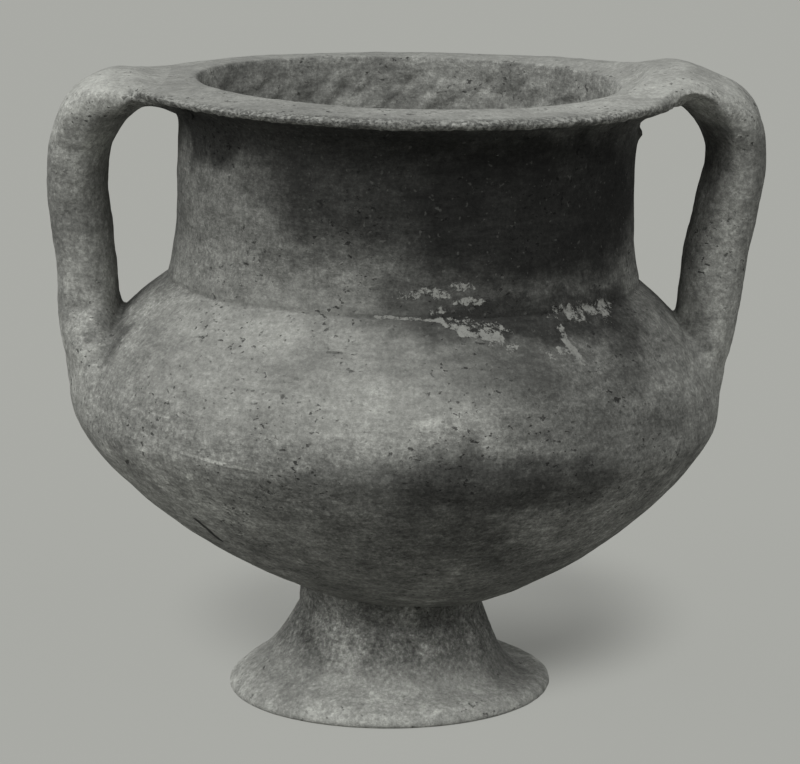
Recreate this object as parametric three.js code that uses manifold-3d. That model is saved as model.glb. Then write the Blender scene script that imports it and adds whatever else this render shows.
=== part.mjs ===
import * as THREE from 'three';
import { mergeVertices } from 'three/addons/utils/BufferGeometryUtils.js';
import Module from 'manifold-3d';

const wasm = await Module();
wasm.setup();

// Two-handled footed cup in fired clay, thrown in sections and luted together.
// All sizes are in millimetres. +Z is up and the foot rests on z = 0.

// Fits
const SLIP_GAP = 0.3; // film of slip left between two luted pieces

// Foot: a hollow trumpet, open underneath
const FOOT_HEIGHT = 24; // table to the lowest point of the bowl
const FOOT_RADIUS = 44.8; // outer edge of the flare
const FOOT_EDGE_HEIGHT = 4.2; // height of the rounded edge
const FOOT_STEM_RADIUS = 27.4; // waist of the foot
const FOOT_COLLAR_RADIUS = 25; // where the stem meets the bowl
const FOOT_WALL = 5.2; // thickness of the stem
const FOOT_REST_WIDTH = 7; // width of the ring that stands on the table
const WAIST_SHARE = 0.8; // height of the waist, as a share of the foot's
const FLARE_SHARE = 0.4; // height at which the flare begins, likewise
const FLARE_REACH = 8.4; // length over which the flare leaves its edge

// Bowl: lower body and shoulder in one
const BOWL_RADIUS = 89; // largest outer radius
const BOWL_DEPTH = 56; // lowest point of the bowl to the largest radius
const BOWL_FLATNESS = 44.5; // reach of the flat start of the underside
const BOWL_FULLNESS = 9; // height over which the side nears vertical
const SHOULDER_RISE = 37; // largest radius to the crease under the neck
const SHOULDER_FULLNESS = 19.5; // height over which the side leaves vertical
const SHOULDER_SLOPE = 37; // slope of the shoulder at the crease, in degrees
const SHOULDER_HANDLE = 5.3; // length over which that slope holds
const BOWL_WALL = 5; // thickness of the bowl

// Neck: a collar with an everted lip
const CREASE_RADIUS = 65.1; // outer radius where the neck stands on the shoulder
const NECK_RADIUS = 62.7; // outer radius of the wall
const NECK_HEIGHT = 53; // crease to the top of the lip
const NECK_WALL = 4.3; // thickness of the wall
const NECK_SETTLE = 26; // height over which the neck narrows from the crease to its wall
const SEAT_WIDTH = 5.3; // ring of the shoulder that the neck stands on
const LIP_RADIUS = 76; // outer edge of the lip
const LIP_THICKNESS = 3.3; // thickness of the lip at its edge
const LIP_FLARE = 11; // height under the lip over which the wall turns outwards
const MOUTH_ROUND = 2.4; // rounding of the mouth's inner edge

// Luting ring: the fillet of clay smoothed round the joint of foot and bowl
const LUTING_REACH = 4; // down the stem and out along the bowl
const LUTING_EDGE = 0.5; // thickness left at both edges of the fillet

// The hand-set body leans a little on its foot
const LEAN_DEGREES = 1.17; // towards +X
const LEAN_OFFSET = 1.8; // sideways, from the foot's axis

// Handles: pulled straps of oval section, from the lip to the belly
const LEFT_HANDLE = {
  gap: 18, // neck to handle where the loop is widest
  shoulderGap: 16, // the same, above the shoulder
  thickness: 17.2,
  width: 27,
  rise: 3.4, // crest above the lip
  rootThickness: 11,
  rootWidth: 58, // spread where it is wiped onto the lip
  tailWidth: 40, // spread where it is wiped onto the belly
};
const RIGHT_HANDLE = {
  gap: 19.2,
  shoulderGap: 14.5,
  thickness: 17.2,
  width: 28,
  rise: 7.4,
  rootThickness: 15.6,
  rootWidth: 62,
  tailWidth: 42,
};
const ROOT_PROUD = 1.2; // height of the strap's upper end above the lip
const BEND_DROP = 4; // from the lip down to the middle of the outer bend
const BEND_INSET = 7; // from the widest reach in to the same place
const INNER_BEND_DROP = 7; // from the strap's underside down to the middle of the inner bend
const INNER_BEND_INSET = 3.5; // from the widest gap in to the same place
const WIDEST_DROP = 26; // from the lip down to the widest part of the loop
const LOOP_FOOT = 5; // from the crease up to the foot of the open loop
const SHOULDER_PROUD = 8.5; // how far the strap stands out from the lower shoulder
const BELLY_PROUD = 2.6; // the same at the largest radius
const TAIL_PROUD = 1.2; // the same at the strap's lower end
const TAIL_BITE = 3; // depth of the strap's blank inside the bowl's surface
const SHOULDER_HEIGHT = 15; // from the largest radius up to the lower shoulder
const TAIL_DROP = 11; // from the largest radius down to the strap's lower end
const SECTION_SQUARENESS = 2.5; // exponent of the oval section: 2 is an ellipse

// Faceting
const TURN_SEGMENTS = 56;
const CURVE_STEPS = 7;
const STRAP_STEPS = 36;
const STRAP_SIDES = 16;

// Heights above the lowest point of the bowl
const BELLY_Z = BOWL_DEPTH;
const CREASE_Z = BELLY_Z + SHOULDER_RISE;
const LIP_TOP_Z = CREASE_Z + NECK_HEIGHT;

// Outlines are drawn as (radius, height) and run anticlockwise
function sidewaysNormals(points) {
  return points.map((point, i) => {
    const before = points[Math.max(i - 1, 0)];
    const after = points[Math.min(i + 1, points.length - 1)];
    const along = after.clone().sub(before).normalize();
    return new THREE.Vector2(along.y, -along.x);
  });
}

// A positive distance moves the outline outwards
function offsetOutline(points, distance) {
  const normals = sidewaysNormals(points);
  return points.map((point, i) => {
    const moved = point.clone().addScaledVector(normals[i], distance);
    moved.x = Math.max(moved.x, 0);
    if (point.x === 0) moved.x = 0;
    return moved;
  });
}

// Radius of an outline at a height, and height at a radius, where it rises outwards or inwards only once
function radiusAt(points, height) {
  const i = points.findIndex((point, n) => n > 0 && (point.y - height) * (points[n - 1].y - height) <= 0);
  const [from, to] = [points[i - 1], points[i]];
  return THREE.MathUtils.mapLinear(height, from.y, to.y, from.x, to.x);
}

function heightAt(points, radius) {
  const i = points.findIndex((point, n) => n > 0 && (point.x - radius) * (points[n - 1].x - radius) <= 0);
  const [from, to] = [points[i - 1], points[i]];
  return THREE.MathUtils.mapLinear(radius, from.x, to.x, from.y, to.y);
}

function revolve(outline, closed) {
  const points = closed ? [...outline, outline[0].clone()] : outline;
  const geometry = new THREE.LatheGeometry(points, TURN_SEGMENTS);
  geometry.rotateX(Math.PI / 2);
  return geometry;
}

function toSolid(geometry) {
  const bare = geometry.clone();
  bare.deleteAttribute('normal');
  bare.deleteAttribute('uv');
  const merged = mergeVertices(bare, 1e-4);
  const mesh = new wasm.Mesh({
    numProp: 3,
    vertProperties: new Float32Array(merged.attributes.position.array),
    triVerts: new Uint32Array(merged.index.array),
  });
  return new wasm.Manifold(mesh);
}

function toGeometry(solid) {
  const mesh = solid.getMesh();
  const geometry = new THREE.BufferGeometry();
  geometry.setAttribute('position', new THREE.BufferAttribute(mesh.vertProperties, 3));
  geometry.setIndex(new THREE.BufferAttribute(mesh.triVerts, 1));
  geometry.computeVertexNormals();
  return geometry;
}

function clay(color) {
  return new THREE.MeshStandardMaterial({ color, roughness: 0.92, metalness: 0 });
}

// Outer side of the bowl, from the axis underneath up to the crease
function bowlSide() {
  const slope = THREE.MathUtils.degToRad(SHOULDER_SLOPE);
  const path = new THREE.Path();
  path.moveTo(0, 0);
  path.bezierCurveTo(BOWL_FLATNESS, 0, BOWL_RADIUS, BELLY_Z - BOWL_FULLNESS, BOWL_RADIUS, BELLY_Z);
  path.bezierCurveTo(
    BOWL_RADIUS, BELLY_Z + SHOULDER_FULLNESS,
    CREASE_RADIUS + SHOULDER_HANDLE * Math.cos(slope), CREASE_Z - SHOULDER_HANDLE * Math.sin(slope),
    CREASE_RADIUS, CREASE_Z,
  );
  return path.getPoints(CURVE_STEPS);
}

function bowlGeometry() {
  const outside = bowlSide();
  const inside = offsetOutline(outside, -BOWL_WALL).reverse();
  const seatInner = new THREE.Vector2(CREASE_RADIUS - SEAT_WIDTH, CREASE_Z);
  return revolve([...outside, seatInner, ...inside], false);
}

// Outer side of the neck, from the crease up to the edge of the lip
function neckSide() {
  const underLip = LIP_TOP_Z - LIP_THICKNESS;
  const path = new THREE.Path();
  path.moveTo(CREASE_RADIUS, CREASE_Z + SLIP_GAP);
  path.bezierCurveTo(
    (CREASE_RADIUS + NECK_RADIUS) / 2, CREASE_Z + NECK_SETTLE / 5,
    NECK_RADIUS, CREASE_Z + NECK_SETTLE / 3,
    NECK_RADIUS, CREASE_Z + NECK_SETTLE,
  );
  path.lineTo(NECK_RADIUS, underLip - LIP_FLARE);
  path.bezierCurveTo(
    NECK_RADIUS, underLip - LIP_FLARE / 3,
    NECK_RADIUS + LIP_FLARE / 3, underLip,
    LIP_RADIUS - LIP_THICKNESS / 2, underLip,
  );
  return path.getPoints(CURVE_STEPS);
}

function lipEdge() {
  const edge = new THREE.Path();
  const half = LIP_THICKNESS / 2;
  edge.absarc(LIP_RADIUS - half, LIP_TOP_Z - half, half, -Math.PI / 2, Math.PI / 2, false);
  return edge.getPoints(3).slice(1);
}

function neckGeometry() {
  const mouthRadius = NECK_RADIUS - NECK_WALL;
  const inside = new THREE.Path();
  inside.moveTo(mouthRadius + MOUTH_ROUND, LIP_TOP_Z);
  inside.quadraticCurveTo(mouthRadius, LIP_TOP_Z, mouthRadius, LIP_TOP_Z - MOUTH_ROUND);
  inside.lineTo(mouthRadius, CREASE_Z + NECK_SETTLE);
  inside.lineTo(CREASE_RADIUS - SEAT_WIDTH, CREASE_Z + SLIP_GAP);
  return revolve([...neckSide(), ...lipEdge(), ...inside.getPoints(3)], true);
}

// Solid blanks of the bowl and the neck, one slip gap larger, that cut what is luted to them
function bowlBlank() {
  return toSolid(revolve([...offsetOutline(bowlSide(), SLIP_GAP), new THREE.Vector2(0, CREASE_Z)], false));
}

function neckBlank() {
  const outside = offsetOutline([...neckSide(), ...lipEdge()], SLIP_GAP);
  const foot = new THREE.Vector2(0, CREASE_Z - SLIP_GAP);
  const top = new THREE.Vector2(0, LIP_TOP_Z + SLIP_GAP);
  return toSolid(revolve([foot, ...outside, top], false));
}

// Outer side of the foot, from the table up into the bowl
function footSide() {
  const round = FOOT_EDGE_HEIGHT / 2;
  const path = new THREE.Path();
  path.moveTo(FOOT_RADIUS - round, 0);
  path.quadraticCurveTo(FOOT_RADIUS, 0, FOOT_RADIUS, round);
  path.quadraticCurveTo(FOOT_RADIUS, FOOT_EDGE_HEIGHT, FOOT_RADIUS - round, FOOT_EDGE_HEIGHT);
  path.bezierCurveTo(
    FOOT_RADIUS - FLARE_REACH, FOOT_EDGE_HEIGHT + FLARE_REACH / 2,
    FOOT_STEM_RADIUS, FOOT_HEIGHT * FLARE_SHARE,
    FOOT_STEM_RADIUS, FOOT_HEIGHT * WAIST_SHARE,
  );
  path.lineTo(FOOT_COLLAR_RADIUS, FOOT_HEIGHT + FOOT_WALL);
  return path.getPoints(CURVE_STEPS - 1);
}

function footGeometry(body) {
  const restInner = FOOT_RADIUS - FOOT_EDGE_HEIGHT / 2 - FOOT_REST_WIDTH;
  const hollow = new THREE.Path();
  hollow.moveTo(FOOT_COLLAR_RADIUS - FOOT_WALL, FOOT_HEIGHT + FOOT_WALL);
  hollow.lineTo(FOOT_STEM_RADIUS - FOOT_WALL, FOOT_HEIGHT * WAIST_SHARE);
  hollow.bezierCurveTo(
    FOOT_STEM_RADIUS - FOOT_WALL, FOOT_HEIGHT * FLARE_SHARE,
    restInner - FLARE_REACH / 2, FLARE_REACH / 2,
    restInner, 0,
  );
  const blank = toSolid(revolve([...footSide(), ...hollow.getPoints(CURVE_STEPS - 1)], true));
  return toGeometry(blank.subtract(body));
}

// A concave fillet between the stem and the underside of the bowl, cut by both
function lutingRingGeometry(body) {
  const stem = offsetOutline(footSide(), SLIP_GAP);
  const corner = FOOT_HEIGHT + heightAt(bowlSide(), FOOT_COLLAR_RADIUS);
  const low = corner - LUTING_REACH;
  const wide = FOOT_COLLAR_RADIUS + LUTING_REACH;
  const high = FOOT_HEIGHT + heightAt(bowlSide(), wide) - LUTING_EDGE;
  const section = new THREE.Path();
  section.moveTo(FOOT_COLLAR_RADIUS, low);
  section.lineTo(radiusAt(stem, low) + LUTING_EDGE, low);
  section.quadraticCurveTo(FOOT_COLLAR_RADIUS + LUTING_REACH / 4, corner - LUTING_REACH / 4, wide, high);
  section.lineTo(wide, corner + LUTING_REACH);
  section.lineTo(FOOT_COLLAR_RADIUS, corner + LUTING_REACH);
  const blank = toSolid(revolve(section.getPoints(4), true));
  const top = new THREE.Vector2(0, stem.at(-1).y);
  const stemBlank = toSolid(revolve([new THREE.Vector2(0, 0), ...stem, top], false));
  return toGeometry(blank.subtract(stemBlank).subtract(body));
}

// The strap lies between an outer and an inner line in the XZ plane, whose points pair up
function strapLines(handle) {
  const reach = NECK_RADIUS + handle.gap;
  const loopFoot = NECK_RADIUS + handle.shoulderGap;
  const crest = LIP_TOP_Z + handle.rise;
  const under = crest - handle.rootThickness;
  const widest = LIP_TOP_Z - WIDEST_DROP;
  const side = bowlSide().slice(1);
  const onBowl = (height, proud) => [radiusAt(side, height) + proud, height];
  const outer = [
    [NECK_RADIUS, LIP_TOP_Z + ROOT_PROUD],
    [LIP_RADIUS - LIP_THICKNESS / 2, crest],
    [reach + handle.thickness - BEND_INSET, LIP_TOP_Z - BEND_DROP],
    [reach + handle.thickness, widest],
    [loopFoot + handle.thickness, CREASE_Z + LOOP_FOOT],
    onBowl(BELLY_Z + SHOULDER_HEIGHT, SHOULDER_PROUD),
    onBowl(BELLY_Z, BELLY_PROUD),
    onBowl(BELLY_Z - TAIL_DROP, TAIL_PROUD),
  ];
  const inner = [
    [NECK_RADIUS, under],
    [LIP_RADIUS - LIP_THICKNESS, under],
    [reach - INNER_BEND_INSET, under - INNER_BEND_DROP],
    [reach, widest],
    [loopFoot, CREASE_Z + LOOP_FOOT],
    onBowl(BELLY_Z + SHOULDER_HEIGHT, -TAIL_BITE),
    onBowl(BELLY_Z, -TAIL_BITE),
    onBowl(BELLY_Z - TAIL_DROP, -TAIL_BITE),
  ];
  return [outer, inner].map((line) => new THREE.SplineCurve(line.map((p) => new THREE.Vector2(...p))));
}

// Width of the strap at a share t of its length
function strapWidth(handle, t) {
  const spread = THREE.MathUtils.lerp(handle.rootWidth, handle.width, smooth(0.03, 0.34, t));
  return THREE.MathUtils.lerp(spread, handle.tailWidth, smooth(0.66, 0.95, t));
}

function smooth(from, to, x) {
  return THREE.MathUtils.smoothstep(x, from, to);
}

// Point on a rounded square of half size 1
function ovalPoint(angle) {
  const power = 2 / SECTION_SQUARENESS;
  const across = Math.sign(Math.cos(angle)) * Math.abs(Math.cos(angle)) ** power;
  const outwards = Math.sign(Math.sin(angle)) * Math.abs(Math.sin(angle)) ** power;
  return [across, outwards];
}

function strapGeometry(handle) {
  const [outer, inner] = strapLines(handle);
  const positions = [];
  const index = [];
  for (let step = 0; step <= STRAP_STEPS; step += 1) {
    const t = step / STRAP_STEPS;
    const out = outer.getPoint(t);
    const through = out.clone().sub(inner.getPoint(t)).multiplyScalar(0.5);
    const centre = out.clone().sub(through);
    for (let side = 0; side < STRAP_SIDES; side += 1) {
      const angle = ((side + 0.5) / STRAP_SIDES) * 2 * Math.PI;
      const [across, outwards] = ovalPoint(angle);
      positions.push(
        centre.x + through.x * outwards,
        (across * strapWidth(handle, t)) / 2,
        centre.y + through.y * outwards,
      );
    }
  }
  for (let step = 0; step < STRAP_STEPS; step += 1) {
    for (let side = 0; side < STRAP_SIDES; side += 1) {
      const a = step * STRAP_SIDES + side;
      const b = step * STRAP_SIDES + (side + 1) % STRAP_SIDES;
      index.push(a, b, a + STRAP_SIDES, b, b + STRAP_SIDES, a + STRAP_SIDES);
    }
  }
  const last = STRAP_STEPS * STRAP_SIDES;
  for (let side = 1; side < STRAP_SIDES - 1; side += 1) {
    index.push(0, side + 1, side);
    index.push(last, last + side, last + side + 1);
  }
  const geometry = new THREE.BufferGeometry();
  geometry.setAttribute('position', new THREE.Float32BufferAttribute(positions, 3));
  geometry.setIndex(index);
  return geometry;
}

function handleGeometry(handle, bowl, neck) {
  const strap = strapGeometry(handle);
  const solid = new wasm.Manifold(new wasm.Mesh({
    numProp: 3,
    vertProperties: new Float32Array(strap.attributes.position.array),
    triVerts: new Uint32Array(strap.index.array),
  }));
  return toGeometry(solid.subtract(bowl).subtract(neck));
}

function addPiece(group, name, geometry, color) {
  const mesh = new THREE.Mesh(geometry, clay(color));
  mesh.name = name;
  group.add(mesh);
  return mesh;
}

const vessel = new THREE.Group();
const body = new THREE.Group();
body.position.set(LEAN_OFFSET, 0, FOOT_HEIGHT);
body.rotation.y = THREE.MathUtils.degToRad(LEAN_DEGREES);
body.updateMatrix();
vessel.add(body);

const bowlCutter = bowlBlank();
const neckCutter = neckBlank();
const seatedBowl = bowlCutter.transform(body.matrix.elements);

addPiece(vessel, 'foot', footGeometry(seatedBowl), 0x83867f);
addPiece(vessel, 'foot_luting_ring', lutingRingGeometry(seatedBowl), 0x7a7c76);
addPiece(body, 'bowl', bowlGeometry(), 0x6f716c);
addPiece(body, 'neck', neckGeometry(), 0x64665f);
const left = addPiece(body, 'left_handle', handleGeometry(LEFT_HANDLE, bowlCutter, neckCutter), 0x6b6c67);
left.rotation.z = Math.PI;
addPiece(body, 'right_handle', handleGeometry(RIGHT_HANDLE, bowlCutter, neckCutter), 0x71736e);

// The origin is the middle of the whole vessel's footprint
const extent = new THREE.Box3().setFromObject(vessel, true);
vessel.position.x = -(extent.min.x + extent.max.x) / 2;
vessel.position.y = -(extent.min.y + extent.max.y) / 2;

export default vessel;
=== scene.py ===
import math

import bpy
import numpy as np
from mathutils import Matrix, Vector


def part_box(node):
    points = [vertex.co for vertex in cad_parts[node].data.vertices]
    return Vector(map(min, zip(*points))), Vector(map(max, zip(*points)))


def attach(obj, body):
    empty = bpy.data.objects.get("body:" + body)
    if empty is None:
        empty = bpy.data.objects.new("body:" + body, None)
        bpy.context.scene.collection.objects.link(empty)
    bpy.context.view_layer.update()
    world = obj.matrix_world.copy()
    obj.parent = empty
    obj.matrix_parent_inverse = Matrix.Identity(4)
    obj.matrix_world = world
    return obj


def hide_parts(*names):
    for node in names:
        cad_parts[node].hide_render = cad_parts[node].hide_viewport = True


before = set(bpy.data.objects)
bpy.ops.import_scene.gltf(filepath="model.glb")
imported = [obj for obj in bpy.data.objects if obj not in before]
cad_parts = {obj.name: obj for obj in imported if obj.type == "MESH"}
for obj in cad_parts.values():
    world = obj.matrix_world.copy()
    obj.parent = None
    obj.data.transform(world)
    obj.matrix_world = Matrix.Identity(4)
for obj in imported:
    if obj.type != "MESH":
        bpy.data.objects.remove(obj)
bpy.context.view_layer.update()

# Lengths below are in millimetres unless a name says otherwise
MM = 0.001

# Viewpoint of the photograph, fitted to the outline of the vessel, in metres and radians
CAMERA_PLACE = (-0.0017, -0.905, 0.2725)
CAMERA_PITCH = 0.2025
CAMERA_LENS = 149.85
CAMERA_SENSOR = 36.0

BACKGROUND = (0.397, 0.402, 0.376)
FLOOR_SEEN = (0.400, 0.405, 0.380)
FLOOR_BOUNCE = (0.27, 0.27, 0.255)
SHADOW_PLACE = (0.008, 0.083, 0) # middle of the floor's shadow, in metres
FLOOR_FADE = (0.045, 0.085) # distances from there, in metres
FLOOR_PLAINNESS = (0.22, 0.95) # share of the floor's tone that is plain background at those distances
FLOOR_SIDE = 6.0 # half its side, in metres

# Lights: degrees to the left of the viewer, degrees up, strength
LIGHTS = [(56, 34, 1.75), (-56, 36, 1.05), (2, 50, 0.95), (120, 50, 1.1)]
WORLD = 0.05

# The body leans on its foot. The foot's axis is the middle of its node
foot_low, foot_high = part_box("foot")
FOOT_AXIS_X = (foot_low[0] + foot_high[0]) / 2 / MM
FOOT_HEIGHT = 24.0
LEAN = math.radians(1.17)
LEAN_OFFSET = 1.8

# Body: (radius, height above the bowl's lowest point)
BELLY = (88.75, 56.0)
CREASE = (64.9, 92.5)
NECK_RADIUS = 62.5
MOUTH_RADIUS = 58.4
LIP_RADIUS = 76.0
LIP_TOP = 146.0
LIP_THICKNESS = 3.3
BOWL_WALL = 5.0
LINING_STEP = 5.3 # how far the lining stands in from the crease

CLAY = 0.212 # reflectance of the plain fired clay

COLUMNS = 520 # steps round the body
FOOT_COLUMNS = 400
HANDLE_STEP = 0.62 # size of a face on the handles
SUN_ANGLE = 40 # degrees


def smoothstep(low, high, x):
    t = np.clip((x - low) / (high - low), 0, 1)
    return t * t * (3 - 2 * t)


def between(table, x):
    """The value at x in a table of (x, value)."""
    return np.interp(x, *np.array(table, float).T)


# Noise: gradient noise on a hashed lattice, the same on every run
lattice = np.random.RandomState(11)
SHUFFLE = lattice.permutation(256)
SLOPES = lattice.normal(size=(256, 3))
SLOPES /= np.linalg.norm(SLOPES, axis=1)[:, None]


def noise(points, seed):
    """Smooth noise of about -1 to 1, whose lumps are about one unit apart."""
    moved = points + np.array([17.31, 5.93, 11.77]) * (seed + 1)
    cell = np.floor(moved).astype(np.int64)
    part = moved - cell
    fade = part ** 3 * (part * (part * 6 - 15) + 10)
    total = np.zeros(len(points))
    for corner in np.ndindex(2, 2, 2):
        at = (cell + corner) & 255
        pick = SHUFFLE[(SHUFFLE[(SHUFFLE[at[:, 0]] + at[:, 1]) & 255] + at[:, 2]) & 255]
        along = np.einsum("ij,ij->i", SLOPES[pick], part - corner)
        total += along * np.prod(np.where(corner, fade, 1 - fade), axis=1)
    return total * 1.6


def layers(points, size, count, seed):
    """Noise in count sizes, each half of the one before, the first of that size."""
    total = np.zeros(len(points))
    for i in range(count):
        total += noise(points * 2 ** i / size, seed + 7 * i) / 2 ** i
    return total


# Outlines in a plane
def bezier(a, b, c, d, count=80):
    t = np.linspace(0, 1, count)[:, None]
    a, b, c, d = (np.array(p, float) for p in (a, b, c, d))
    return (1 - t) ** 3 * a + 3 * (1 - t) ** 2 * t * b + 3 * (1 - t) * t * t * c + t ** 3 * d


def straight(a, b, count=40):
    t = np.linspace(0, 1, count)[:, None]
    return np.array(a, float) * (1 - t) + np.array(b, float) * t


def lengths(line):
    return np.concatenate([[0], np.cumsum(np.linalg.norm(np.diff(line, axis=0), axis=1))])


def at_lengths(line, where):
    along = lengths(line)
    return np.stack([np.interp(where, along, line[:, i]) for i in range(line.shape[1])], axis=1)


def soften(line, reach, step=0.1):
    """The line with its corners rounded over about that reach. Its ends stay."""
    total = lengths(line)[-1]
    count = int(total / step) + 1
    even = at_lengths(line, np.linspace(0, total, count))
    half = int(3 * reach / step)
    weights = np.exp(-0.5 * (np.arange(-half, half + 1) * step / reach) ** 2)
    weights /= weights.sum()
    before = 2 * even[0] - even[1:half + 1][::-1]
    after = 2 * even[-1] - even[-half - 1:-1][::-1]
    padded = np.concatenate([before, even, after])
    return np.stack([np.convolve(padded[:, i], weights, "valid") for i in range(2)], axis=1)


def through(points, count=160):
    """A smooth line through the points."""
    points = np.array(points, float)
    ends = np.concatenate([[2 * points[0] - points[1]], points, [2 * points[-1] - points[-2]]])
    parts = []
    for i in range(len(points) - 1):
        a, b, c, d = ends[i:i + 4]
        t = np.linspace(0, 1, 24, endpoint=False)[:, None]
        parts.append(0.5 * (2 * b + (c - a) * t + (2 * a - 5 * b + 4 * c - d) * t ** 2
                            + (3 * b - a - 3 * c + d) * t ** 3))
    line = np.concatenate(parts + [points[-1:]])
    return at_lengths(line, np.linspace(0, lengths(line)[-1], count))


def sides(line):
    """Unit normals to the right of the line."""
    along = np.gradient(line, axis=0)
    along /= np.linalg.norm(along, axis=1)[:, None] + 1e-12
    return np.stack([along[:, 1], -along[:, 0]], axis=1)


def rows(line, spacing):
    """Points along the line, as far apart as spacing(points) says."""
    total = lengths(line)[-1]
    fine = np.linspace(0, total, 4000)
    density = 1 / spacing(at_lengths(line, fine))
    counted = np.concatenate([[0], np.cumsum((density[1:] + density[:-1]) / 2 * np.diff(fine))])
    count = max(int(round(counted[-1])), 2)
    return at_lengths(line, np.interp(np.linspace(0, counted[-1], count + 1), counted, fine))


# Outer skin of the body, from underneath up to the crease, the lip's edge and the mouth
shoulder_slope = math.radians(37)
bowl_line = np.concatenate([
    bezier((0, 0.9), (46.3, 0.9), (BELLY[0], BELLY[1] - 9.4), BELLY),
    bezier(BELLY, (BELLY[0], BELLY[1] + 19.0),
           (CREASE[0] + 5.3 * math.cos(shoulder_slope), CREASE[1] - 5.3 * math.sin(shoulder_slope)),
           CREASE)[1:],
])
under_lip = LIP_TOP - LIP_THICKNESS
neck_line = np.concatenate([
    bezier(CREASE, (63.9, 98.2), (NECK_RADIUS, 101.7), (NECK_RADIUS, 119)),
    straight((NECK_RADIUS, 119), (NECK_RADIUS, under_lip - 10))[1:],
    bezier((NECK_RADIUS, under_lip - 10), (NECK_RADIUS, under_lip - 3.5), (66.5, under_lip - 0.2),
           (LIP_RADIUS - 2.2, under_lip - 0.3))[1:],
    bezier((LIP_RADIUS - 2.2, under_lip - 0.3), (LIP_RADIUS - 0.6, under_lip - 0.3),
           (LIP_RADIUS, under_lip), (LIP_RADIUS, under_lip + 1.4))[1:],
    bezier((LIP_RADIUS, under_lip + 1.4), (LIP_RADIUS, LIP_TOP - 0.6),
           (LIP_RADIUS - 0.8, LIP_TOP), (LIP_RADIUS - 2.6, LIP_TOP))[1:],
    straight((LIP_RADIUS - 2.6, LIP_TOP), (MOUTH_RADIUS + 1.3, LIP_TOP))[1:],
    bezier((MOUTH_RADIUS + 1.3, LIP_TOP), (MOUTH_RADIUS + 0.4, LIP_TOP),
           (MOUTH_RADIUS, LIP_TOP - 0.5), (MOUTH_RADIUS, LIP_TOP - 1.6))[1:],
])
skin = soften(np.concatenate([bowl_line, neck_line[1:]]), 0.5)
skin[0, 0] = 0
bowl_inside = (bowl_line - BOWL_WALL * sides(bowl_line))[::-1]
bowl_inside[:, 0] = np.maximum(bowl_inside[:, 0], 0)
bowl_inside = bowl_inside[bowl_inside[:, 1] < CREASE[1] - 2.5]
bowl_inside[-1, 0] = 0
lining = soften(np.concatenate([
    straight((MOUTH_RADIUS, LIP_TOP - 1.6), (MOUTH_RADIUS, 119)),
    straight((MOUTH_RADIUS, 119), (CREASE[0] - LINING_STEP, CREASE[1]))[1:],
    bowl_inside,
]), 1.2)
lining[-1, 0] = 0


# Lumps and dents of the body's skin: (place, reach, rise)
LUMPS = [
    ((62.5, -3, 132.8), (2.2, 2.4, 1.3), 1.3), ((27, 0, 2.4), (10, 30, 5), 1.2),
    ((44, 0, 10), (9, 30, 6), -0.9), ((-62.5, -4, 139), (3, 4, 2.2), 0.8),
    ((-43, -78, 56.6), (9, 9, 0.9), 0.35), ((-40, -79, 54.6), (9, 9, 1), -0.3),
]


def body_relief(points, inside):
    """Throwing rings, dents, grit and pits. inside is 1 within the vessel and 0 on its outer skin."""
    x, y, z = points.T
    stretched = points * np.array([1, 1, 5.5])
    relief = 0.20 * noise(stretched / 80, 1) + 0.12 * noise(stretched / 30, 2)
    relief += 0.22 * layers(points, 26, 2, 3)
    relief += 0.09 * noise(points / 6.5, 5) + 0.07 * noise(points / 2.7, 6)
    pits = np.maximum(noise(points / 2.9, 8) - 0.42, 0)
    relief -= 0.9 * pits * (0.5 + 0.5 * noise(points / 24, 9))
    radius = np.hypot(x, y)
    edge = np.exp(-((z - under_lip - 0.2) / 1.6) ** 2) * smoothstep(LIP_RADIUS - 5, LIP_RADIUS - 1.5, radius)
    crumbs = layers(points, 2.6, 2, 12)
    relief += edge * (0.42 * crumbs - 0.9 * np.maximum(noise(points / 2.2, 14) - 0.3, 0))
    relief -= (0.2 + 0.15 * noise(points / 20, 19)) * np.exp(-((z - CREASE[1] - 0.2) / 0.7) ** 2)
    for place, reach, rise in LUMPS:
        relief += rise * np.exp(-(((points - place) / reach) ** 2).sum(1))
    wiped = np.stack([(x - z) / 5.5, (x + z) / 14, y / 8], axis=1)
    coarse = layers(wiped, 1, 2, 15) + 0.40 * noise(points / 4, 18) + 0.30 * noise(points / 2.2, 17)
    relief = relief * (1 - 0.2 * inside) + inside * coarse
    return relief


# How the body sagged: over the height above the table, its sideways shift and its tilt in degrees
SHIFTS = [
    (24, 0.5), (31, 0.5), (42, 0.9), (57, 0.05), (72, -1.1), (88, -1.2), (103, -0.6), (117, 0.2), (124, 0.3),
    (132, 0.55), (143, 0.4), (150, 0.5), (160, 0.8), (168, 1.0),
]
TILTS = [(24, 2.4), (30, 2.2), (42, 0.8), (52, 0.1), (60, 0)]

# Over the turn in degrees from +X towards +Y: how much the lip is raised, swollen on top and thinned below
LIP_RISES = [
    (-180, 0.3), (-130, 0), (-90, 0), (-50, 0.2), (-20, 1.6), (0, 2), (20, 2), (41, 1.8), (54, 1.6), (72, 1),
    (86, 0.8), (111, 0.2), (150, 0), (180, 0.3),
]
LIP_SWELLS = [
    (-180, 0.5), (-150, 0.3), (-120, 0), (-45, 0), (-18, 1.5), (0, 2), (18, 1.7), (45, 0), (130, 0), (155, 0.3),
    (180, 0.5),
]
LIP_THINS = [(-180, 0), (-168, 0), (-150, 1), (-125, 0.6), (-95, 0), (180, 0)]


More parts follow.
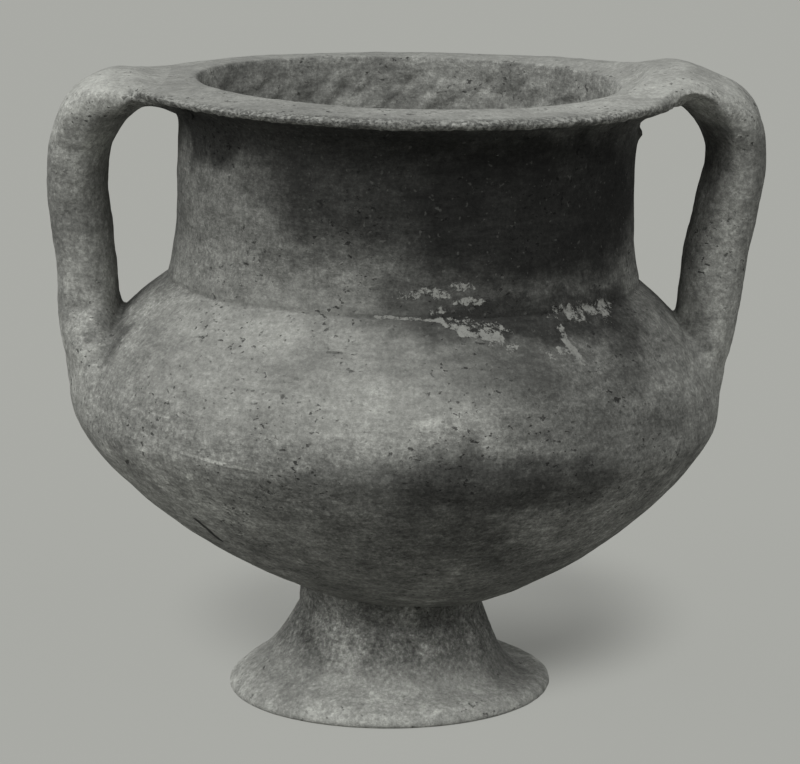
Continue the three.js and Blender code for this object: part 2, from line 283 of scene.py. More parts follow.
def lip_rise(x, y, z):
    """How far the uneven lip stands higher than a level one, with its top swollen at the handles' roots."""
    turn = np.degrees(np.arctan2(y, x))
    radius = np.hypot(x, y)
    outwards = smoothstep(MOUTH_RADIUS - 2, MOUTH_RADIUS + 9, radius)
    rise = between(LIP_RISES, turn) * outwards * smoothstep(110, LIP_TOP, z)
    on_top = smoothstep(MOUTH_RADIUS + 0.5, MOUTH_RADIUS + 9, radius) * smoothstep(141, LIP_TOP, z)
    rise = rise + between(LIP_SWELLS, turn) * on_top
    rise = rise + 0.5 * smoothstep(20, 58, -x) * smoothstep(126, LIP_TOP, z) * (1 - smoothstep(60, 68, radius))
    inner = 1 - smoothstep(57, 75, radius)
    back = smoothstep(-75, 75, y)
    rise = rise + 1.1 * (inner * back - (1 - inner) * (1 - back)) * smoothstep(143, LIP_TOP, z)
    thin = between(LIP_THINS, turn) * smoothstep(65, 74, radius) * (1 - smoothstep(78, 84, radius))
    return rise + thin * smoothstep(136, 141, z) * (1 - smoothstep(under_lip + 0.4, LIP_TOP, z))


def mouth_squeeze(x, y, z):
    """How far the mouth's wall is moved to +X: it narrows a little, most on the right."""
    reach = 61 + 9 * smoothstep(143, 145.5, z)
    near = (1 - smoothstep(59, reach, np.hypot(x, y))) * smoothstep(126, 140, z)
    return near * (0.7 * smoothstep(5, 58, -x) - 1.5 * smoothstep(5, 58, x))


def settle(points):
    """From the true turned shape to the place and the slightly sagged shape on the foot, in metres."""
    x, y, z = points.T
    x, z = x + mouth_squeeze(x, y, z), z + lip_rise(x, y, z)
    table = z + FOOT_HEIGHT
    moved_x = x + between(SHIFTS, table)
    moved_z = z - x * np.tan(np.radians(between(TILTS, table)))
    world_x = FOOT_AXIS_X + LEAN_OFFSET + moved_x * math.cos(LEAN) + moved_z * math.sin(LEAN)
    world_z = FOOT_HEIGHT - moved_x * math.sin(LEAN) + moved_z * math.cos(LEAN)
    return np.stack([world_x, y, world_z], axis=1) * MM


# Meshes
def add_mesh(name, vertices, faces, uv=None):
    """faces is an array of quads, in which a triangle repeats its last corner."""
    mesh = bpy.data.meshes.new(name)
    three = faces[:, 2] == faces[:, 3]
    sizes = np.where(three, 3, 4)
    keep = np.ones(faces.shape, bool)
    keep[three, 3] = False
    corners = faces[keep]
    mesh.vertices.add(len(vertices))
    mesh.vertices.foreach_set("co", np.asarray(vertices, np.float32).ravel())
    mesh.loops.add(len(corners))
    mesh.loops.foreach_set("vertex_index", corners.astype(np.int32))
    mesh.polygons.add(len(faces))
    starts = np.concatenate([[0], np.cumsum(sizes)[:-1]])
    mesh.polygons.foreach_set("loop_start", starts.astype(np.int32))
    mesh.polygons.foreach_set("use_smooth", np.ones(len(faces), bool))
    mesh.update(calc_edges=True)
    mesh.validate()
    mesh.set_sharp_from_angle(angle=math.radians(65))
    if uv is not None:
        layer = mesh.uv_layers.new(name="OFBake")
        layer.data.foreach_set("uv", uv[keep].astype(np.float32).ravel())
    thing = bpy.data.objects.new(name, mesh)
    bpy.context.scene.collection.objects.link(thing)
    return thing


def turned_grid(count, columns, first_pole, last_pole, closed):
    """Quads of a grid of rows by columns, with one vertex where a row is a pole, and their UVs."""
    index = np.zeros((count, columns), int)
    used = 0
    for row in range(count):
        pole = (row == 0 and first_pole) or (row == count - 1 and last_pole)
        index[row] = used if pole else used + np.arange(columns)
        used += 1 if pole else columns
    around = np.arange(columns)
    beside = (around + 1) % columns
    faces = []
    uvs = []
    last = count if closed else count - 1
    for row in range(last):
        other = (row + 1) % count
        ends = ((row, around), (row, beside), (other, beside), (other, around))
        quad = np.stack([index[end] for end in ends], axis=1)
        low, high = row / last, (row + 1) / last
        left, right = around / columns, (around + 1) / columns
        corners = ((left, low), (right, low), (right, high), (left, high))
        uv = np.stack([np.stack([u, np.full(columns, v)], axis=1) for u, v in corners], axis=1)
        if row == 0 and first_pole:
            quad = quad[:, [0, 2, 3, 3]]
            uv = uv[:, [0, 2, 3, 3]]
        if other == count - 1 and last_pole:
            quad = quad[:, [0, 1, 2, 2]]
            uv = uv[:, [0, 1, 2, 2]]
        faces.append(quad)
        uvs.append(uv)
    return np.concatenate(faces), np.concatenate(uvs)


def revolve(left, right, columns):
    """A grid of points turned about the axis, whose outline goes over from left on -X to right on +X."""
    turn = np.arange(columns) / columns * 2 * math.pi
    share = (1 + np.cos(turn)) / 2
    radius = np.outer(left[:, 0], 1 - share) + np.outer(right[:, 0], share)
    height = np.outer(left[:, 1], 1 - share) + np.outer(right[:, 1], share)
    return np.stack([radius * np.cos(turn), radius * np.sin(turn), height], axis=2)


def grid_normals(grid, closed):
    if closed:
        along = np.roll(grid, -1, axis=0) - np.roll(grid, 1, axis=0)
    else:
        along = np.gradient(grid, axis=0)
    around = np.roll(grid, -1, axis=1) - np.roll(grid, 1, axis=1)
    normals = np.cross(around, along)
    size = np.linalg.norm(normals, axis=2, keepdims=True)
    return normals / np.maximum(size, 1e-9)


def turned_piece(name, grid, place, closed):
    """A piece from a grid of rows by columns. A first or last row on the axis becomes one vertex."""
    count, columns = grid.shape[:2]
    radius = np.hypot(grid[:, 0, 0], grid[:, 0, 1])
    first_pole = not closed and radius[0] < 1e-3
    last_pole = not closed and radius[-1] < 1e-3
    keep = np.ones((count, columns), bool)
    if first_pole:
        keep[0, 1:] = False
    if last_pole:
        keep[-1, 1:] = False
    faces, uv = turned_grid(count, columns, first_pole, last_pole, closed)
    return add_mesh(name, place(grid[keep]), faces, uv)


def skin_spacing(points):
    radius, height = points.T
    gap = np.full(len(points), 1.12)
    gap = np.where(np.abs(height - CREASE[1]) < 5, 0.75, gap)
    gap = np.where(height > under_lip - 8, 0.7, gap)
    gap = np.where((height > under_lip - 1) & (radius > LIP_RADIUS - 5), 0.42, gap)
    gap = np.where((radius < MOUTH_RADIUS + 3.5) & (height > LIP_TOP - 3.5), 0.5, gap)
    return np.where((radius < 23) & (height < 20), 3.2, gap)


def lining_spacing(points):
    radius, height = points.T
    return np.where(height > 119, 1.0, np.where(height > CREASE[1] - 8, 1.4, 3.2))


def body_grid():
    """The whole skin of bowl and neck, and the rows where the two meet outside and inside."""
    outside = rows(skin, skin_spacing)
    inside = rows(lining, lining_spacing)[1:]
    outline = np.concatenate([outside, inside])
    crease = int(np.argmin(np.abs(outside[:, 1] - CREASE[1])))
    inner_crease = len(outside) + int(np.argmin(np.abs(inside[:, 1] - CREASE[1])))
    within = np.zeros(len(outline))
    within[len(outside):] = smoothstep(LIP_TOP - 2, LIP_TOP - 6, inside[:, 1])
    within[inner_crease:] *= 0.7
    grid = revolve(outline, outline, COLUMNS)
    normals = grid_normals(grid, False)
    normals[0] = (0, 0, -1)
    normals[-1] = (0, 0, 1)
    relief = body_relief(grid.reshape(-1, 3), np.repeat(within, COLUMNS)).reshape(grid.shape[:2])
    relief[0] = 0
    relief[-1] = 0
    return grid + normals * relief[:, :, None], crease, inner_crease


def butt(outer_ring, inner_ring, rise):
    """Two hidden rows that close a piece between its outer and inner skin."""
    lift = np.array([0, 0, rise])
    inwards = inner_ring - outer_ring
    return np.stack([outer_ring + 0.1 * inwards + lift, outer_ring + 0.9 * inwards + lift])


def make_body():
    grid, crease, inner_crease = body_grid()
    low = butt(grid[crease], grid[inner_crease], -0.15)
    high = butt(grid[crease], grid[inner_crease], 0.15)[::-1]
    bowl = turned_piece("bowl_clay", np.concatenate([grid[:crease + 1], low, grid[inner_crease:]]), settle, False)
    neck = turned_piece("neck_clay", np.concatenate([grid[crease:inner_crease + 1], high]), settle, True)
    return bowl, neck


# Foot: (radius, height above the table), on the left and on the right, where it is pressed askew
FOOT_LEFT = [
    (22.0, 31.5), (22.9, 28.0), (25.7, 23.3), (28.6, 18.1), (32.1, 13.4), (36.3, 9.2), (40.6, 6.4), (43.6, 3.6),
]
FOOT_RIGHT = [
    (24.6, 27.5), (25.7, 24.0), (27.6, 19.0), (29.9, 13.3), (32.2, 9.0), (34.9, 6.2), (38.4, 5.0), (41.4, 4.6),
    (43.6, 3.6),
]
FOOT_RIM = [(39.6, 0.0), (43.2, 0.0), (44.9, 0.1), (45.0, 1.2)]
FOOT_EDGE = [(45.0, 1.2), (45.1, 2.2), (44.5, 3.0), (43.6, 3.6)]
FOOT_HOLLOW = [(21.8, 19.0), (22.0, 10.0), (31.5, 3.5), (36.4, 0.6)]


def foot_outline(flank):
    edge = np.concatenate([bezier(*FOOT_RIM, 20), bezier(*FOOT_EDGE, 16)[1:]])
    outside = np.concatenate([edge, through(flank, 200)[::-1][1:]])
    hollow = np.concatenate([
        straight((19.8, 26.5), FOOT_HOLLOW[0]),
        bezier(*FOOT_HOLLOW)[1:],
        straight(FOOT_HOLLOW[-1], (38.2, 0.0), 6)[1:],
    ])
    outer = at_lengths(outside, lengths(outside)[-1] * np.linspace(0, 1, 84) ** 1.15)
    inner = at_lengths(hollow, np.linspace(0, lengths(hollow)[-1], 34))
    return np.concatenate([outer, inner]), len(outer)


def foot_relief(grid, within):
    points = grid.reshape(-1, 3)
    relief = 0.26 * layers(points, 26, 2, 31) + 0.13 * noise(points / 6, 33) + 0.11 * noise(points / 2.8, 34)
    relief -= 0.8 * np.maximum(noise(points / 3.1, 36) - 0.45, 0)
    relief = relief + within * 0.25 * layers(points, 8, 2, 37)
    return relief.reshape(grid.shape[:2])


def on_table(points):
    """From the foot's axis to its place on the table, in metres."""
    return (points + np.array([FOOT_AXIS_X, 0, 0])) * MM


def make_foot():
    left, outer_rows = foot_outline(FOOT_LEFT)
    right, _ = foot_outline(FOOT_RIGHT)
    grid = revolve(left, right, FOOT_COLUMNS)
    normals = grid_normals(grid, True)
    within = np.repeat(np.arange(len(grid)) >= outer_rows, FOOT_COLUMNS).astype(float)
    relief = foot_relief(grid, within)
    relief *= smoothstep(0.1, 1.2, grid[:, :, 2])
    moved = grid + normals * relief[:, :, None]
    moved[:, :, 2] = np.maximum(moved[:, :, 2], 0)
    return turned_piece("foot_clay", moved, on_table, True)


def make_luting():
    """The clay smoothed into the angle between foot and bowl."""
    outlines = []
    for flank, tilt, spread in ((FOOT_LEFT, 1, 0.0), (FOOT_RIGHT, -1, 0.8)):
        stem = through(flank, 200)
        start = np.interp(FOOT_HEIGHT - 0.6 + 0.4 * tilt, stem[::-1, 1], lengths(stem)[::-1])
        low = at_lengths(stem, [float(start)])[0]
        reach = low[0] + spread
        under = float(np.interp(reach, bowl_line[:80, 0], bowl_line[:80, 1]))
        high = (reach, FOOT_HEIGHT + under + tilt * reach * math.tan(math.radians(TILTS[0][1])) + 0.6)
        corner = (low[0] - 0.5, high[1] - 0.6)
        bow = bezier((low[0] - 0.3, low[1]), (low[0] - 0.1, low[1] + 0.8), (high[0] - 0.7, high[1] - 0.5), high, 9)
        back = np.array([(high[0] - 0.4, high[1] + 0.8), (corner[0] - 1.2, high[1] + 0.6), (low[0] - 1.6, low[1])])
        outlines.append(np.concatenate([bow, back]))
    grid = revolve(outlines[0], outlines[1], FOOT_COLUMNS)
    normals = grid_normals(grid, True)
    relief = foot_relief(grid, 0)
    relief += 0.25 * noise(grid.reshape(-1, 3) / 5, 39).reshape(grid.shape[:2])
    relief[9:] = 0
    moved = grid + normals * relief[:, :, None]
    return turned_piece("luting_clay", moved, on_table, True)


# Signed distances, for the smooth joins of the handles
def segment_distances(points, line):
    """Distance to an open line, the nearest share of its length, and the side: 1 on the right of it."""
    start = line[:-1]
    step = line[1:] - start
    square = (step ** 2).sum(1)
    share_at = lengths(line) / lengths(line)[-1]
    best = np.full(len(points), 1e9)
    share = np.zeros(len(points))
    side = np.ones(len(points))
    for i in range(len(step)):
        away = points - start[i]
        raw = away @ step[i] / square[i]
        t = np.clip(raw, 0, 1)
        gap = away - t[:, None] * step[i]
        distance = np.hypot(gap[:, 0], gap[:, 1])
        nearer = distance < best
        best = np.where(nearer, distance, best)
        share = np.where(nearer, share_at[i] + t * (share_at[i + 1] - share_at[i]), share)
        cross = away[:, 0] * step[i, 1] - away[:, 1] * step[i, 0]
        side = np.where(nearer, np.sign(cross), side)
    return best, share, side


class Chart:
    """Values on a grid in a plane, read between its points."""

    def __init__(self, low, high, step, values_at):
        self.low = np.array(low, float)
        self.step = step
        self.shape = tuple(int(math.ceil((high[i] - low[i]) / step)) + 1 for i in range(2))
        across = self.low[0] + np.arange(self.shape[0]) * step
        up = self.low[1] + np.arange(self.shape[1]) * step
        points = np.stack(np.meshgrid(across, up, indexing="ij"), axis=2).reshape(-1, 2)
        self.values = [v.reshape(self.shape) for v in values_at(points)]

    def read(self, a, b):
        i = np.clip((a - self.low[0]) / self.step, 0, self.shape[0] - 1.001)
        j = np.clip((b - self.low[1]) / self.step, 0, self.shape[1] - 1.001)
        i0 = i.astype(int)
        j0 = j.astype(int)
        u = i - i0
        v = j - j0
        return [
            (1 - u) * (1 - v) * values[i0, j0] + u * (1 - v) * values[i0 + 1, j0]
            + (1 - u) * v * values[i0, j0 + 1] + u * v * values[i0 + 1, j0 + 1]
            for values in self.values
        ]


def body_distance(points):
    mouth = int(np.argmin(np.abs(skin[:, 0] - (MOUTH_RADIUS + 3.4)) + 100 * (skin[:, 1] < LIP_TOP - 1)))
    line = np.concatenate([skin[:mouth:8], [skin[mouth], (20, LIP_TOP)]])
    distance, _, side = segment_distances(points, line)
    return [distance * side]


body_chart = Chart((36, 30), (112, 160), 0.4, body_distance)
TAIL_END = 43.0 # height where a handle's tail ends inside the body's wall


class Strap:
    """A handle, between an outer and an inner line of (x, height), on the +X side of the true shape.

    Over the share of its length from the lip: its widths, how far its inner face is hollowed, and the powers
    of its superellipse section outside and inside. Over the height: the reach of its blend with the body, and
    how thick its clay is smeared over the body.
    """

    def __init__(self, outer, inner, widths, recesses, powers, inner_powers, blends, smears):
        self.outer = through(outer)
        self.inner = through(inner)
        self.middle = (self.outer + self.inner) / 2
        self.widths, self.recesses, self.powers, self.inner_powers = widths, recesses, powers, inner_powers
        self.blends, self.smears = blends, smears
        self.chart = Chart((50, 30), (106, 162), 0.4, self.read_lines)

    def read_lines(self, points):
        distance, _, side = segment_distances(points, self.outer)
        below = distance * side
        distance, _, side = segment_distances(points, self.inner)
        above = -distance * side
        _, share, _ = segment_distances(points, self.middle)
        return [below, above, share]

    def distance(self, points):
        below, above, share = self.chart.read(points[:, 0], points[:, 2])
        half = np.maximum((below + above) / 2, 1.2)
        through_it = (above - below) / 2
        wide = between(self.widths, share) / 2
        power = np.where(through_it > 0, between(self.powers, share), between(self.inner_powers, share))
        a = np.abs(through_it) / half
        b = np.abs(points[:, 1]) / wide
        size = (a ** power + b ** power + 1e-9) ** (1 / power)
        slope_a = size ** (1 - power) * a ** (power - 1) / half
        slope_b = size ** (1 - power) * b ** (power - 1) / wide
        slope = np.sqrt(slope_a ** 2 + slope_b ** 2) + 1e-6
        recess = between(self.recesses, share)
        inner_face = (recess * np.minimum(b, 1.3) ** 2 - above) / np.hypot(1, 2 * recess / wide)
        skin_distance = np.maximum((size - 1) / slope, inner_face)
        return np.maximum(np.maximum(skin_distance, -half), TAIL_END - points[:, 2])

    def smear(self, points):
        """How far the clay smeared out round the foot of the handle stands over the body."""
        across = np.maximum(1 - (points[:, 1] / 34) ** 2, 0) ** 3
        return across * between(self.smears, points[:, 2])


DIP = 0.35 # how far a handle's skin dips under the body's where it has no clay of its own
BURIED = 0.9 # how deep a handle's piece reaches into the body
APRON = 9.0 # how far it spreads round the strap


def joined(points, strap):
    """Distances to the skin of body and handle blended, to the body's and to the edge of the handle's piece."""
    radius = np.hypot(points[:, 0], points[:, 1])
    to_body = body_chart.read(radius, points[:, 2])[0]
    to_strap = strap.distance(points)
    at_mouth = (1 - smoothstep(62, 66, radius)) * smoothstep(141, 143, points[:, 2])
    reach = between(strap.blends, points[:, 2]) * (1 - 0.8 * at_mouth)
    smear = strap.smear(points)
    raised = to_body - smear
    near = np.maximum(reach - np.abs(to_strap - raised), 0) / reach
    field = np.minimum(to_strap, raised) - near ** 2 * reach / 4
    field = field + DIP * np.maximum(smoothstep(0, 3, to_strap) * (1 - smoothstep(0.1, 0.9, smear)), at_mouth)
    return field, to_body, np.minimum(to_strap, APRON + 0.12 - smear)


def piece_field(points, strap):
    field, to_body, to_strap = joined(points, strap)
    value = np.maximum(field, -to_body - BURIED)
    value = np.maximum(value, to_strap - APRON)
    clear_of_mouth = MOUTH_RADIUS + 3.2 - np.hypot(points[:, 0], points[:, 1])
    return np.maximum(value, clear_of_mouth)


def surface_net(values, low, step):
    """Vertices and quads of the surface round the places where values are negative."""
    inside = values < 0
    count = np.zeros(tuple(n - 1 for n in values.shape), int)
    corners = list(np.ndindex(2, 2, 2))
    for c in corners:
        count += inside[c[0]:c[0] + count.shape[0], c[1]:c[1] + count.shape[1], c[2]:c[2] + count.shape[2]]
    active = (count > 0) & (count < 8)
    cells = np.argwhere(active)
    number = np.full(count.shape, -1)
    number[tuple(cells.T)] = np.arange(len(cells))
    total = np.zeros((len(cells), 3))
    crossings = np.zeros(len(cells))
    for c in corners:
        for axis in range(3):
            if c[axis]:
                continue
            d = list(c)
            d[axis] = 1
            a = values[tuple((cells + c).T)]
            b = values[tuple((cells + d).T)]
            cross = (a < 0) != (b < 0)
            t = np.where(cross, a / np.where(cross, a - b, 1), 0)
            place = np.array(c, float) + np.outer(t, np.eye(3)[axis])
            total += np.where(cross[:, None], place, 0)
            crossings += cross
    vertices = low + (cells + total / crossings[:, None]) * step
    faces = []
    for axis in range(3):
        one, two = (axis + 1) % 3, (axis + 2) % 3
        near = np.take(inside, range(values.shape[axis] - 1), axis)
        far = np.take(inside, range(1, values.shape[axis]), axis)
        edges = np.argwhere(near != far)
        inner = (edges > 0) & (edges < np.array(values.shape) - 1)
        edges = edges[inner[:, [one, two]].all(axis=1)]
        a, b = np.eye(3, dtype=int)[[one, two]]
        ring = [edges, edges - a, edges - a - b, edges - b]
        quad = np.stack([number[tuple(r.T)] for r in ring], axis=1)
        flip = ~near[tuple(edges.T)]
        quad[flip] = quad[flip][:, ::-1]
        faces.append(quad)
    return vertices, np.concatenate(faces)


def gradient(function, points, step=0.15):
    moves = step * np.eye(3)
    return np.stack([(function(points + move) - function(points - move)) / (2 * step) for move in moves], axis=1)


def strap_relief(points, seed):
    relief = 0.42 * layers(points, 22, 2, seed) + 0.16 * noise(points / 6, seed + 3)
    relief += 0.12 * noise(points / 2.6, seed + 4)
    pits = np.maximum(noise(points / 2.8, seed + 5) - 0.45, 0)
    return relief - 0.7 * pits


def make_handle(name, strap, side, seed):
    step = HANDLE_STEP
    low = np.array([57.0, -37.0, 38.0])
    high = np.array([103.0, 37.0, 157.0])
    shape = tuple(int((high[i] - low[i]) / step) + 2 for i in range(3))
    axes = [low[i] + np.arange(shape[i]) * step for i in range(3)]
    grid = np.stack(np.meshgrid(*axes, indexing="ij"), axis=3).reshape(-1, 3)
    values = piece_field(grid, strap).reshape(shape)
    vertices, faces = surface_net(values, low, step)
    for _ in range(3):
        here = joined(vertices, strap)[0]
        showing = (np.abs(piece_field(vertices, strap) - here) < 0.02) & (np.abs(here) < step)
        slope = gradient(lambda p: joined(p, strap)[0], vertices)
        square = np.maximum((slope ** 2).sum(1), 0.2)
        vertices = vertices - np.where(showing, here / square, 0)[:, None] * slope
    slope = gradient(lambda p: joined(p, strap)[0], vertices)
    slope /= np.linalg.norm(slope, axis=1)[:, None] + 1e-9
    turn = np.array([side, side, 1.0])
    mirrored, slope = vertices * turn, slope * turn
    to_body = joined(vertices, strap)[1]
    on_body = 1 - smoothstep(0.5, 7, to_body)
    outside = np.zeros(len(vertices))
    relief = (1 - on_body) * strap_relief(mirrored, seed) + on_body * body_relief(mirrored, outside)
    moved = mirrored + slope * np.where(to_body > -BURIED + 0.2, relief, 0)[:, None]
    return add_mesh(name, settle(moved), faces)


def unshifted(side, line):
    """Lines measured on the sagged shape, brought to the true one on the +X side."""
    brought = []
    for x, z in line:
        radius = x - side * float(between(SHIFTS, z + FOOT_HEIGHT))
        true_z = z
        for _ in range(12):
            true_z = z - float(lip_rise(side * radius, 0, true_z))
        brought.append((radius, true_z))
    return brought


def belly(height, proud):
    """A point at that distance out from the bowl's side."""
    side = skin[(skin[:, 1] < CREASE[1]) & (skin[:, 0] > 30)]
    return (float(np.interp(height, side[:, 1], side[:, 0])) + proud, height)


# Lines of the handles as measured, from the lip down: (distance from the axis, height)
LEFT_OUTER = [
    (60.5, 142.4), (64.5, 143.8), (69.5, 145.3), (75.1, 147.2), (80.6, 147.8), (85.7, 146.3), (90.9, 142.4),
    (94.5, 136.2), (97.1, 128.2), (97.7, 119.5), (97, 108.9), (95.2, 97), (94.6, 86), (93.8, 76),
]
LEFT_INNER = [
    (60.5, 139), (65.5, 139.3), (69.5, 139.1), (72.5, 138), (75.9, 135.2), (78.5, 131.4), (80.5, 127),
    (81.5, 120), (81.2, 113), (79.8, 102), (78.5, 92), (78, 84), (76.6, 79), (72.5, 74),
]
RIGHT_OUTER = [
    (60.5, 146.2), (64.5, 148.6), (69, 151), (74.5, 151.9), (79.8, 151.2), (85, 149.3), (90.4, 147),
    (95, 142.4), (97.4, 135.8), (98.2, 126.8), (97.4, 119), (95.3, 105), (93, 87.7), (91.5, 77),
]
RIGHT_INNER = [
    (60.5, 138.8), (64.2, 139.2), (68.2, 141.4), (70.8, 143), (73.4, 142.8), (76.7, 139.6), (80.2, 134.5),
    (81.9, 129.2), (81.2, 123), (79.4, 113), (77.7, 103), (76.6, 92), (75.8, 84), (74.6, 79), (71.5, 74),
]
# Tails of the handles: (height, distance out from the bowl's side)
LEFT_TAIL = [(67, 4.1), (62, 1.1), (57, -1.1), (52, -3.4), (47, -6.0)]
RIGHT_TAIL = [(67, 3.5), (62, 0.5), (57, -1.3), (52, -3.4), (47, -6.0)]
TAIL_INNER = [(67, -16), (60, -17), (54, -17), (48, -17)]
BLENDS = [
    (40, 5), (60, 6), (68, 6), (73, 3), (77, 1.8), (84, 1.8), (120, 2.5), (135, 3), (144, 4), (150, 7),
]


# Marks of the fire and of use, with painted shade and painted light among them, in millimetres from the bowl's
# lowest point: (place, reach, strength)
# Smoke on the neck, and painted shade in a band under the lip's edge, darkest on the left
NECK_SMOKE_AND_PAINTED_SHADE = [
    ((34, -45, 120), (54, 62, 26), 0.93), ((-3, -50, 130), (41, 62, 26), 0.86),
    ((-5, -20, 146), (80, 90, 22), 0.83), ((-50, -38, 144), (35, 50, 16), 0.78),
    ((14, -60, 100), (24, 30, 11), 0.69), ((0, 0, 122), (80, 90, 32), 0.25),
    ((-50, -36, 139), (18, 30, 13), 0.86), ((-22, -55, 112), (24, 25, 12), 0.38),
    ((45, 60, 112), (60, 45, 26), 0.75),
]
# Smoke on the body, with painted shade in the angle of the left handle's foot and on the right handle's inner face
# under its arch; on the top of the foot under the bowl both dirt and painted shade
SMOKE_AND_PAINTED_SHADE = [
    ((34, -52, 92), (44, 40, 8), 0.84), ((44, -55, 84), (33, 50, 15), 0.5), ((50, -60, 63), (30, 45, 12), 0.44),
    ((25, -75, 53), (36, 45, 11), 0.72), ((-17, -80, 49), (32, 45, 11), 0.38),
    ((12, -70, 37), (21, 45, 13), 0.48), ((0, -45, 19), (60, 50, 15), 0.27), ((33, -8, -8), (12, 24, 13), 0.5),
    ((12, -18, 4), (18, 16, 7), 0.32), ((-32, -18, -12), (14, 24, 12), 0.25), ((80, -16, 80), (7, 12, 6), 0.3),
    ((-98, -8, 100), (9, 18, 34), 0.22), ((98, -6, 104), (9, 20, 30), 0.48), ((-78, -22, 78), (5, 14, 7), 0.42),
    ((60, -48, 87), (9, 20, 6), 0.72), ((68, -47, 51), (14, 25, 12), 0.36), ((94, -12, 132), (8, 14, 9), 0.35),
    ((83.5, -10, 132), (6.5, 14, 13), 0.55), ((-35, 65, 70), (45, 40, 22), 0.35),
    ((20, 75, 45), (55, 45, 13), 0.4),
]
# Paler clay, with painted light in the recess under the left handle's arch, on the right handle's inner side and on
# the front of the foot's top
PALE_AND_PAINTED_LIGHT = [
    ((-11, -83, 74), (15, 25, 8), 0.16), ((12, -85, 71), (15, 25, 6), 0.22),
    ((-40, -50, 88), (32, 30, 6), 0.24), ((-35, -75, 47), (25, 25, 10), 0.18),
    ((-45, -73, 73), (13, 25, 9), 0.12), ((55, -40, 146), (50, 60, 6), 0.22),
    ((-62, -48, 42), (22, 30, 16), 0.2), ((60, -48, 44), (20, 30, 14), 0.05),
    ((88, -14, 112), (7, 14, 36), 0.4), ((-84, -10, 138), (14, 16, 13), 0.45),
    ((-4, -22, 0), (12, 12, 6), 0.12), ((60, -50, 76), (16, 25, 8), 0.24), ((-30, 70, 95), (40, 30, 12), 0.2),
]
# (place, reach)
CRUST = [
    ((16, -65, 91.2), (6, 10, 1.5)), ((23, -65, 89), (6, 10, 2.6)), ((24.5, -66, 87), (4, 10, 1.8)),
    ((45, -50, 92), (8, 12, 2.4)), ((52, -41, 91.5), (5, 10, 2.4)), ((39.5, -62, 84), (4, 10, 1.5)),
    ((10, -64, 94.5), (4, 10, 1.2)), ((6, -63, 98.8), (8, 10, 1.5)), ((16, -61.5, 100.5), (4, 10, 1.3)),
    ((18, -61.5, 97), (4, 10, 1.3)), ((29.3, -67, 84.9), (2, 6, 1)), ((-20, 66, 88), (14, 14, 5)),
]
# (start, end, width)
STROKES = [
    ((9, -65, 92.2), (15, -67, 89.6), 2), ((15, -67, 89.6), (26, -66, 87.4), 2.2),
    ((41, -55.5, 89.5), (43, -58.9, 85.6), 2.2), ((43, -58.9, 85.6), (46.5, -61.3, 81.7), 1.9),
    ((-7, -64.5, 92.9), (9, -65, 92.2), 0.9),
]
# (place, reach, factor of the tone)
SPOTS = [
    ((-72.5, -49.3, 50.2), 1, 0.25), ((19.2, -18.9, -7), 1, 0.2), ((-17.3, -21.3, -2.5), 1.3, 1.9),
    ((-5.9, -37.3, -16.9), 1.3, 1.5), ((11.5, -40.2, -19), 1.7, 1.5), ((8, -26.1, -6.3), 2.2, 1.6),
    ((3, -87.6, 63.7), 0.8, 0.3), ((-3, -88.2, 62.6), 0.7, 0.35), ((-30.6, -78.2, 73.4), 0.7, 0.4),
]
# (start, end, width, factor of the tone)
LINES = [
    ((-53.3, -50.1, 34.5), (-47.2, -44.8, 27.8), 1.4, 0.12),
    ((-56.4, -69.7, 57.3), (-48.9, -75, 56.6), 0.6, 1.6), ((-48.9, -75, 56.6), (-40.5, -79.8, 55.8), 0.7, 1.65),
    ((-40.5, -79.8, 55.8), (-36.4, -81.6, 55.3), 0.55, 1.5), ((4, -85.6, 69.2), (10.5, -84.5, 70.6), 1.6, 1.28),
    ((13.5, -83.7, 71.5), (15.3, -85, 67.3), 1.3, 1.22), ((-19, -71.5, 84.8), (-15.5, -72.3, 84.7), 0.55, 0.6),
]


